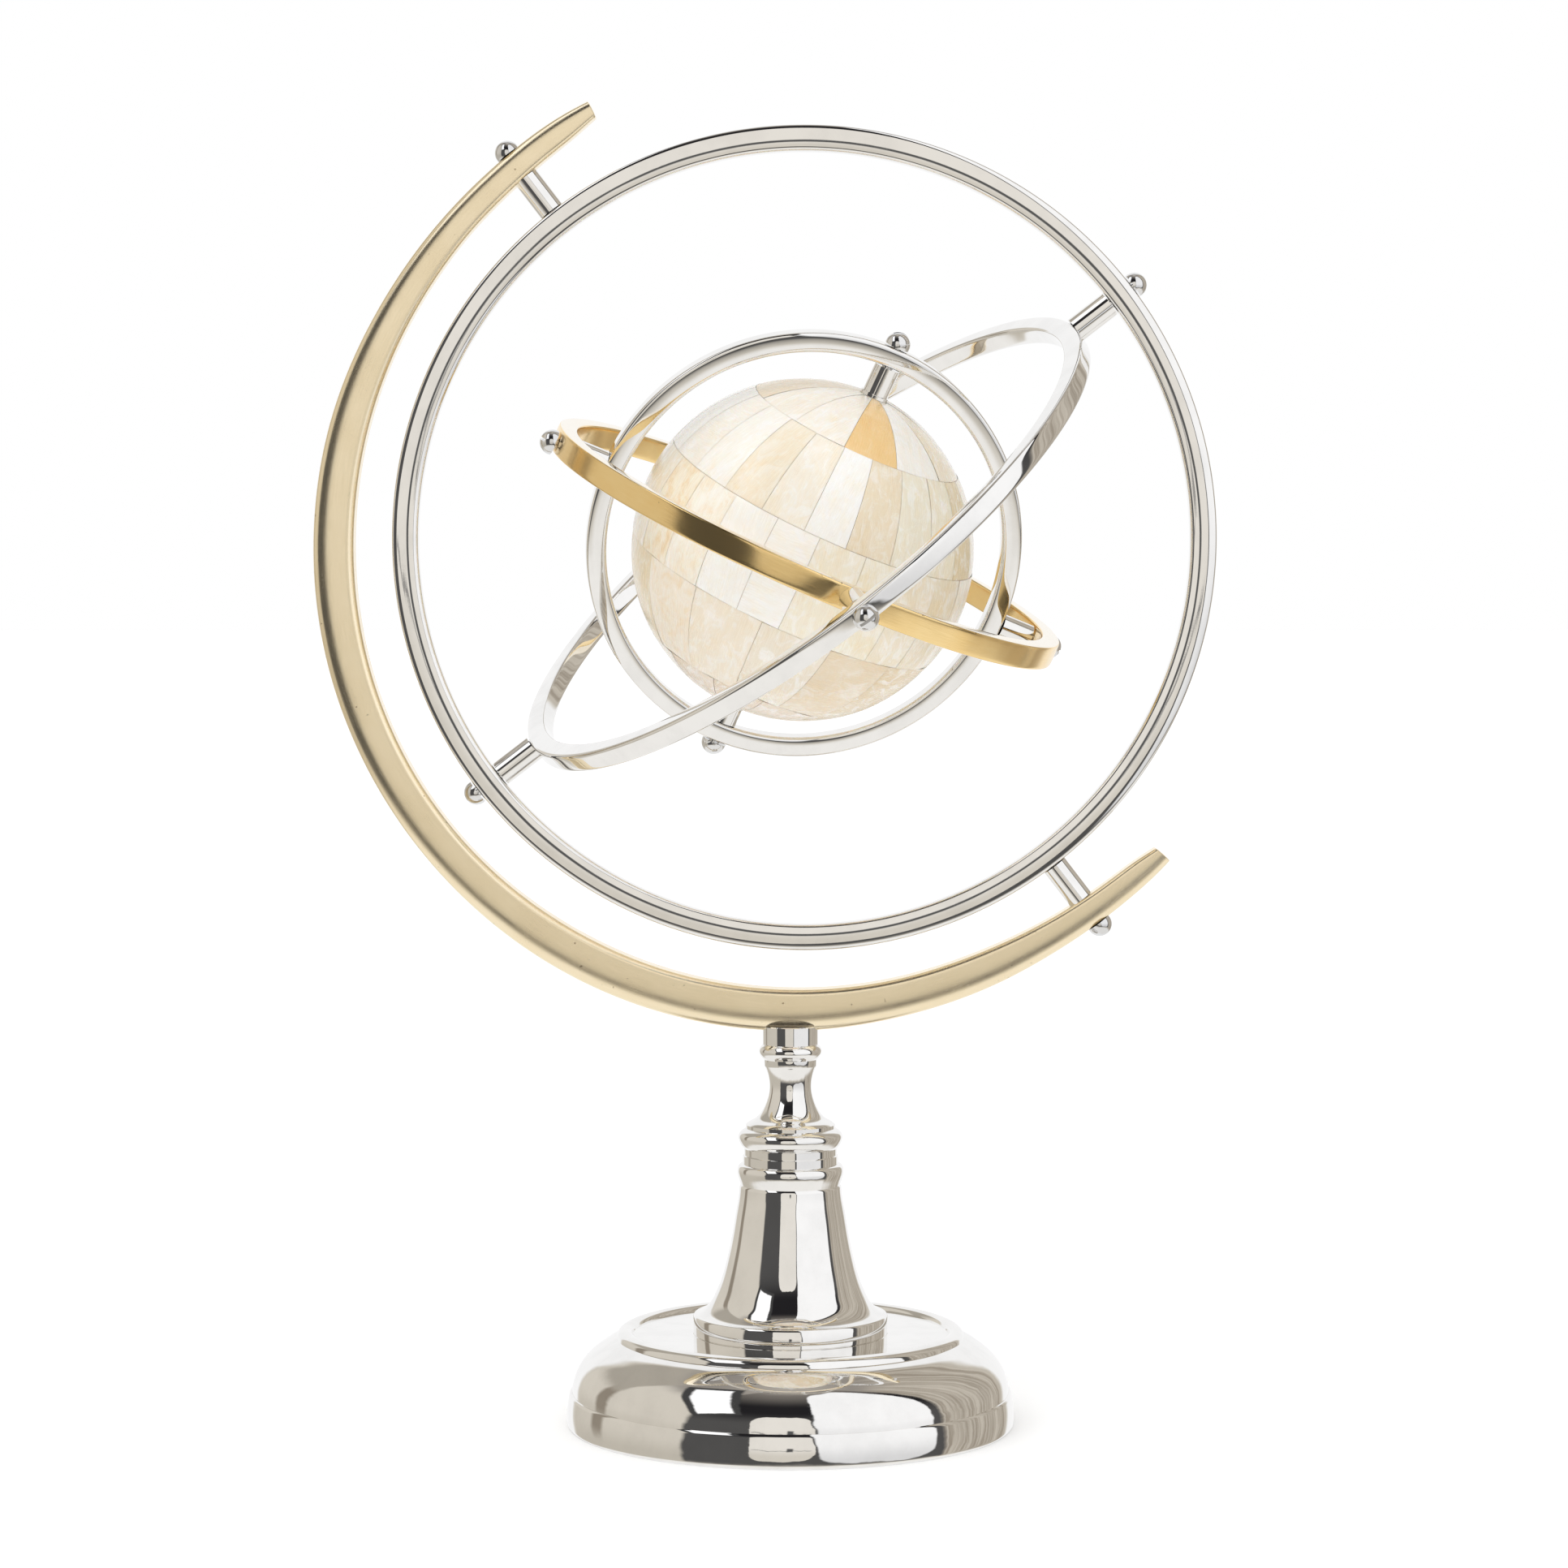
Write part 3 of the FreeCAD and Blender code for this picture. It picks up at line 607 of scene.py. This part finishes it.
verts, faces, uvs, tile_tone_and_shade, stain_col = [], [], [], [], []
GAP = 0.065           # half width of a seam, mm
NU, NV = 10, 12
for ri, (lat0, lat1, first, count, seam_tone_and_shade) in enumerate(TILE_ROWS_TONE_AND_SHADE):
    step = 360.0 / count
    offs = [rng.uniform(-0.6, 0.6) for _ in range(count)]
    for k in range(count):
        seam = first + k * step
        key = (seam + 180.0) % 360.0 - 180.0
        near = min(seam_tone_and_shade, key=lambda c: abs((c - key + 180) % 360 - 180))
        dist = abs((near - key + 180) % 360 - 180)
        # the listed colours carry painted shade, darker low down and at larger longitude; the random picks
        # below are plain tone
        if dist < 1.0:
            colour = srgb(seam_tone_and_shade[near])
            stain = STAINS.get((ri, near), 0.04)
        else:
            pick = rng.random()
            if pick < 0.07:
                colour, stain = srgb("F5E7CB"), 0.28
            elif pick < 0.40:
                colour, stain = srgb(rng.choice(CREAM)), 0.25
            else:
                colour, stain = srgb(rng.choice(IVORY)), 0.08
        lon0, lon1 = seam + offs[k], seam + step + offs[(k + 1) % count]
        turn = rng.uniform(-0.25, 0.25) + (math.pi / 2 if rng.random() < 0.75 else 0.0)
        shift = (rng.uniform(0, 4), rng.uniform(0, 4))
        low, high = lat0, lat1
        tilt = (rng.uniform(-0.010, 0.010), rng.uniform(-0.010, 0.010))
        sink = rng.uniform(0.0, 0.02)
        base = len(verts)
        mid_lat, mid_lon = (low + high) / 2, (lon0 + lon1) / 2
        gap_lat = math.degrees(GAP / GLOBE_R)
        for j in range(NV + 1):
            # closer rows of points near the seams, for the soft worn edge
            v = 0.5 - 0.5 * math.cos(math.pi * j / NV)
            lat = (low + gap_lat) + (high - low - 2 * gap_lat) * v
            cosl = max(0.02, math.cos(math.radians(lat)))
            gap_lon = min(step * 0.4, gap_lat / cosl)
            wid = math.radians(lon1 - lon0) * cosl * GLOBE_R
            hgt = math.radians(high - low) * GLOBE_R
            for i in range(NU + 1):
                u = 0.5 - 0.5 * math.cos(math.pi * i / NU)
                lon = (lon0 + gap_lon) + (lon1 - lon0 - 2 * gap_lon) * u
                s = (u - 0.5) * wid
                t = (v - 0.5) * hgt
                edge = min(wid / 2 - abs(s), hgt / 2 - abs(t))
                drop = 0.05 * math.exp(-max(edge, 0.0) / 0.25)      # worn edge
                # tiles are a little flatter than the ball
                half = wid / 2
                flat = 0.16 * (half * half - s * s) / (2 * GLOBE_R)
                r = GLOBE_R - 0.02 - sink - drop - flat + tilt[0] * s * 0.35 + tilt[1] * t * 0.35
                r = min(r, GLOBE_R - 0.01)
                verts.append(G + on_globe(lat, lon, r))
        for j in range(NV):
            for i in range(NU):
                a = base + j * (NU + 1) + i
                faces.append((a, a + 1, a + NU + 2, a + NU + 1))
                for jj, ii in ((j, i), (j, i + 1), (j + 1, i + 1), (j + 1, i)):
                    v = 0.5 - 0.5 * math.cos(math.pi * jj / NV)
                    u = 0.5 - 0.5 * math.cos(math.pi * ii / NU)
                    lat = low + (high - low) * v
                    sx = (u - 0.5) * math.radians(lon1 - lon0) * math.cos(math.radians(lat)) * GLOBE_R
                    sy = (v - 0.5) * math.radians(high - low) * GLOBE_R
                    px = sx * math.cos(turn) - sy * math.sin(turn)
                    py = sx * math.sin(turn) + sy * math.cos(turn)
                    uvs.append((px * MM + shift[0], py * MM + shift[1]))
                tile_tone_and_shade.append(colour)
                stain_col.append(stain)

me = bpy.data.meshes.new("globe_mosaic")
me.from_pydata([tuple(c * MM for c in p) for p in verts], [], faces)
layer = me.uv_layers.new(name="UVMap")
layer.data.foreach_set("uv", [c for q in uvs for c in q])
for nm, values in (("tile", tile_tone_and_shade), ("stain", [(s, s, s) for s in stain_col])):
    att = me.color_attributes.new(name=nm, type="FLOAT_COLOR", domain="CORNER")
    att.data.foreach_set("color", [c for v in values for _ in range(4) for c in (*v, 1.0)])
me.shade_smooth()
me.materials.append(BONE)
mosaic = bpy.data.objects.new("globe_mosaic", me)
bpy.context.scene.collection.objects.link(mosaic)
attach(mosaic, "globe")
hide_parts("globe_tile_skin")

# filler that shows in the seams
bed = []
for i in range(65):
    a = math.pi * (i / 64 - 0.5)
    bed.append((max(0.0, (GLOBE_R - 0.42) * math.cos(a)), (GLOBE_R - 0.42) * math.sin(a)))
lathe("globe_seam_filler", bed, G, gx, gy, gz, FILLER, "globe", None, seg=128, closed=False)

# ------------------------------------------------------------------ finishes of the CAD nodes
finish_of = {
    "base_felt_pad": FELT, "tie_rod": STEEL, "tie_rod_washer": STEEL, "tie_rod_nut": STEEL,
    "column_cap": NICKEL, "globe_core": RESIN,
    "ring_1_screws": NICKEL_SCREW, "ring_2_screws": NICKEL_SCREW, "ring_3_screws": NICKEL_SCREW,
    "ring_4_screws": NICKEL_SCREW, "globe_screws": NICKEL_SCREW,
}
replaced_finish = {"base_dome": NICKEL, "crescent_arc": SATIN, "ring_3": POLISHED, "globe_tile_skin": BONE}
for name, ob in nodes.items():
    mat = finish_of.get(name) or replaced_finish.get(name) or NICKEL
    ob.data.materials.clear()
    ob.data.materials.append(mat)

# ------------------------------------------------------------------ studio
floor_me = bpy.data.meshes.new("floor")
s = 14.0
floor_me.from_pydata([(-s, -s, 0), (s, -s, 0), (s, s, 0), (-s, s, 0)], [], [(0, 1, 2, 3)])
floor_mat, T, p = material("floor_white")
fl = T.noise(T.add("ShaderNodeTexCoord").outputs["Object"], 30.0, 2.0, 0.5)
T.put(p.inputs["Base Color"], T.mix(fl, (0.93, 0.93, 0.93), (0.95, 0.95, 0.95)))
p.inputs["Emission Color"].default_value = (1.0, 1.0, 1.0, 1.0)
p.inputs["Emission Strength"].default_value = 0.17
p.inputs["Roughness"].default_value = 0.9
p.inputs["Specular IOR Level"].default_value = 0.1
floor_me.materials.append(floor_mat)
floor = bpy.data.objects.new("floor", floor_me)
bpy.context.scene.collection.objects.link(floor)
floor.visible_glossy = False

world = bpy.data.worlds.new("studio")
bpy.context.scene.world = world
world.use_nodes = True
wt = world.node_tree
for n in list(wt.nodes):
    wt.nodes.remove(n)
W = Tree(wt)
direction = W.add("ShaderNodeTexCoord").outputs["Generated"]
sep = W.add("ShaderNodeSeparateXYZ")
W.put(sep.inputs[0], direction)
dx, dy, dz = sep.outputs
az = W.m("DEGREES", W.m("ARCTAN2", dx, W.m("MULTIPLY", dy, -1.0)))
el = W.m("DEGREES", W.m("ARCSINE", dz))


def band(v, a, b, soft):
    up = W.ramp01(v, a - soft, a + soft)
    down = W.ramp01(v, b - soft, b + soft, 1.0, 0.0)
    return W.m("MULTIPLY", up, down)


def oval(col, az_c, el_c, half_az, half_el, power=4.0, soft=0.10):
    """A panel with well rounded corners."""
    global sky
    a = W.m("POWER", W.m("ABSOLUTE", W.m("DIVIDE", W.m("SUBTRACT", az, az_c), half_az)), power)
    b = W.m("POWER", W.m("ABSOLUTE", W.m("DIVIDE", W.m("SUBTRACT", el, el_c), half_el)), power)
    sky = W.mix(W.ramp01(W.m("ADD", a, b), 1.0 - soft * power / 2, 1.0 + soft * power / 2, 1.0, 0.0), sky, col)


def card(col, az0, az1, el0, el1, soft_az=1.5, soft_el=2.0, strength=1.0):
    global sky
    mask = W.m("MULTIPLY", band(az, az0, az1, soft_az), band(el, el0, el1, soft_el))
    if strength != 1.0:
        mask = W.m("MULTIPLY", mask, strength)
    sky = W.mix(mask, sky, col)


WHITE = (1.0, 1.0, 1.0)
# slightly uneven edges, like real panels and cloths
wob = W.m("SUBTRACT", W.noise(direction, 3.2, 3.0, 0.55), 0.5)
wob2 = W.m("SUBTRACT", W.noise(direction, 4.1, 3.0, 0.55), 0.5)
true_el = el
az = W.m("MULTIPLY_ADD", wob, 6.0, az)
el = W.m("MULTIPLY_ADD", wob2, 6.0, el)
sky = W.mix(W.ramp01(el, -32.0, -26.0), (0.93, 0.915, 0.89), (0.66, 0.62, 0.55))
sky = W.mix(W.ramp01(el, 40.0, 62.0), sky, (0.30, 0.275, 0.25))
sky = W.mix(W.ramp01(el, 66.0, 88.0), sky, (0.44, 0.405, 0.36))
wall = W.mix(W.ramp01(true_el, -16.0, 6.0), (0.56, 0.52, 0.45), (0.69, 0.645, 0.57))
card(wall, -146, -55, -30, 50, 2.0, 6.0)                              # light wall, left
card((0.43, 0.395, 0.34), -146, -112, 23, 58, 2.0, 6.0)               # dimmer corner, left rear
card((0.30, 0.26, 0.21), -122, -112, -10, 24, 2.0, 6.0)
folds = W.add("ShaderNodeCombineXYZ")
W.put(folds.inputs[0], W.m("MULTIPLY", az, 0.33))
W.put(folds.inputs[1], W.m("MULTIPLY", el, 0.012))
fold = W.noise(folds.outputs[0], 1.0, 3.0, 0.6, 0.2)
curtain = W.mix(W.ramp01(fold, 0.32, 0.66), (0.345, 0.30, 0.245), (0.60, 0.55, 0.475))
card(curtain, 84, 146, -30, 66, 2.0, 8.0)                             # folded curtain, right
room = W.mix(W.ramp01(true_el, 12.0, 38.0), (0.088, 0.086, 0.085), (0.018, 0.017, 0.019))
room = W.mix(W.ramp01(true_el, 48.0, 84.0), room, (0.22, 0.20, 0.18))
card(room, -57, 86, -24, 80, 2.0, 5.0)                                # dark room behind the viewer
paper = W.mix(W.ramp01(true_el, -9.0, 3.0), (0.70, 0.66, 0.59), (0.855, 0.82, 0.765))
oval(paper, -4.6, 6.2, 16.6, 22.5, 4.0, 0.045)                               # light panel
card((0.24, 0.235, 0.23), -20, 10, -1.1, -0.6, 0.9, 0.3)              # seam of the panel
card((0.10, 0.10, 0.10), -1.6, 1.4, -2.2, 1.6, 0.6, 0.8)              # the viewer's own place
soft_box = W.mix(W.ramp01(true_el, -18.0, 8.0), (0.76, 0.76, 0.77), (1.04, 1.04, 1.05))
oval(soft_box, 46.5, 28.0, 33.5, 48.5, 5.0, 0.045)                           # large soft box, right


def along(x, y, z):
    return W.m("ADD", W.m("MULTIPLY", dx, x), W.m("ADD", W.m("MULTIPLY", dy, y), W.m("MULTIPLY", dz, z)))


# a small slanted soft box, high on the left
facing = along(-0.541, -0.331, 0.773)
ahead = W.ramp01(facing, 0.3, 0.35)
facing = W.m("MAXIMUM", facing, 0.2)
across = W.m("MULTIPLY_ADD", wob, 0.06, W.m("DIVIDE", along(0.755, -0.62, 0.211), facing))
upward = W.m("MULTIPLY_ADD", wob2, 0.06, W.m("DIVIDE", along(0.2586, 0.80, 0.5404), facing))
off = W.m("ABSOLUTE", W.m("ADD", across, W.m("MULTIPLY_ADD", upward, 0.191, 0.034)))
edge_u = W.m("SUBTRACT", W.m("MULTIPLY_ADD", upward, -0.067, 0.155), off)
edge_v = W.m("SUBTRACT", 0.44, W.m("ABSOLUTE", upward))
inside = W.m("MINIMUM", edge_u, edge_v)
sky = W.mix(W.m("MULTIPLY", ahead, W.ramp01(inside, -0.085, -0.055)), sky, (0.06, 0.06, 0.06))
sky = W.mix(W.m("MULTIPLY", ahead, W.ramp01(inside, -0.015, 0.015)), sky, (1.25, 1.25, 1.27))
rear = W.m("MULTIPLY", W.m("SUBTRACT", 1.0, band(az, -149.0, 149.0, 2.5)), W.ramp01(el, 50.0, 72.0, 1.0, 0.25))
sky = W.mix(rear, sky, (0.98, 0.98, 0.985))
sky = W.mix(W.m("MULTIPLY", rear, W.ramp01(true_el, -30.0, -12.0, 1.0, 0.0)), sky, (0.98, 0.98, 0.98))
lp = W.add("ShaderNodeLightPath")
sky_light = W.mix(lp.outputs["Is Diffuse Ray"], sky, (0.60, 0.60, 0.60))     # even light on matt things
sky_light = W.mix(lp.outputs["Is Camera Ray"], sky_light, WHITE)
bg = W.add("ShaderNodeBackground")
W.put(bg.inputs["Color"], sky_light)
bg.inputs["Strength"].default_value = 1.0
out = W.add("ShaderNodeOutputWorld")
wt.links.new(bg.outputs[0], out.inputs[0])


def soft_light(name, where, aim, size, watts):
    """A large soft light that lifts the matt surfaces and isn't seen in the mirrors."""
    la = bpy.data.lights.new(name, "AREA")
    la.shape = "SQUARE"
    la.size = size
    la.energy = watts
    ob = bpy.data.objects.new(name, la)
    bpy.context.scene.collection.objects.link(ob)
    ob.location = where
    ob.rotation_euler = (Vector(aim) - Vector(where)).to_track_quat("-Z", "Y").to_euler()
    ob.visible_glossy = False
    ob.visible_camera = False
    return ob


soft_light("front_left", (-1.5, -1.7, 1.5), (0, 0, 0.3), 1.4, 5.0)
soft_light("front_right", (1.7, -1.5, 1.1), (0, 0, 0.3), 1.4, 2.0)
sun_data = bpy.data.lights.new("overhead", "SUN")
sun_data.energy = 1.30
sun_data.angle = math.radians(75.0)
sun = bpy.data.objects.new("overhead", sun_data)
bpy.context.scene.collection.objects.link(sun)
sun.rotation_euler = (math.radians(14.0), math.radians(-10.0), 0.0)
sun.visible_glossy = False
sun.visible_camera = False

# ------------------------------------------------------------------ camera
cam_data = bpy.data.cameras.new("camera")
cam_data.sensor_width = 36.0
cam_data.lens = 36.0 * 5321.0 / 1932.0
cam_data.clip_start, cam_data.clip_end = 0.01, 100.0
cam = bpy.data.objects.new("camera", cam_data)
bpy.context.scene.collection.objects.link(cam)
cam.location = (-0.0024, -1.599, 0.32965)
cam.rotation_euler = (math.radians(90.0 - 3.2388), 0.0, 0.0)
bpy.context.scene.camera = cam
bpy.context.scene.view_settings.view_transform = "Standard"
bpy.context.scene.view_settings.look = "None"
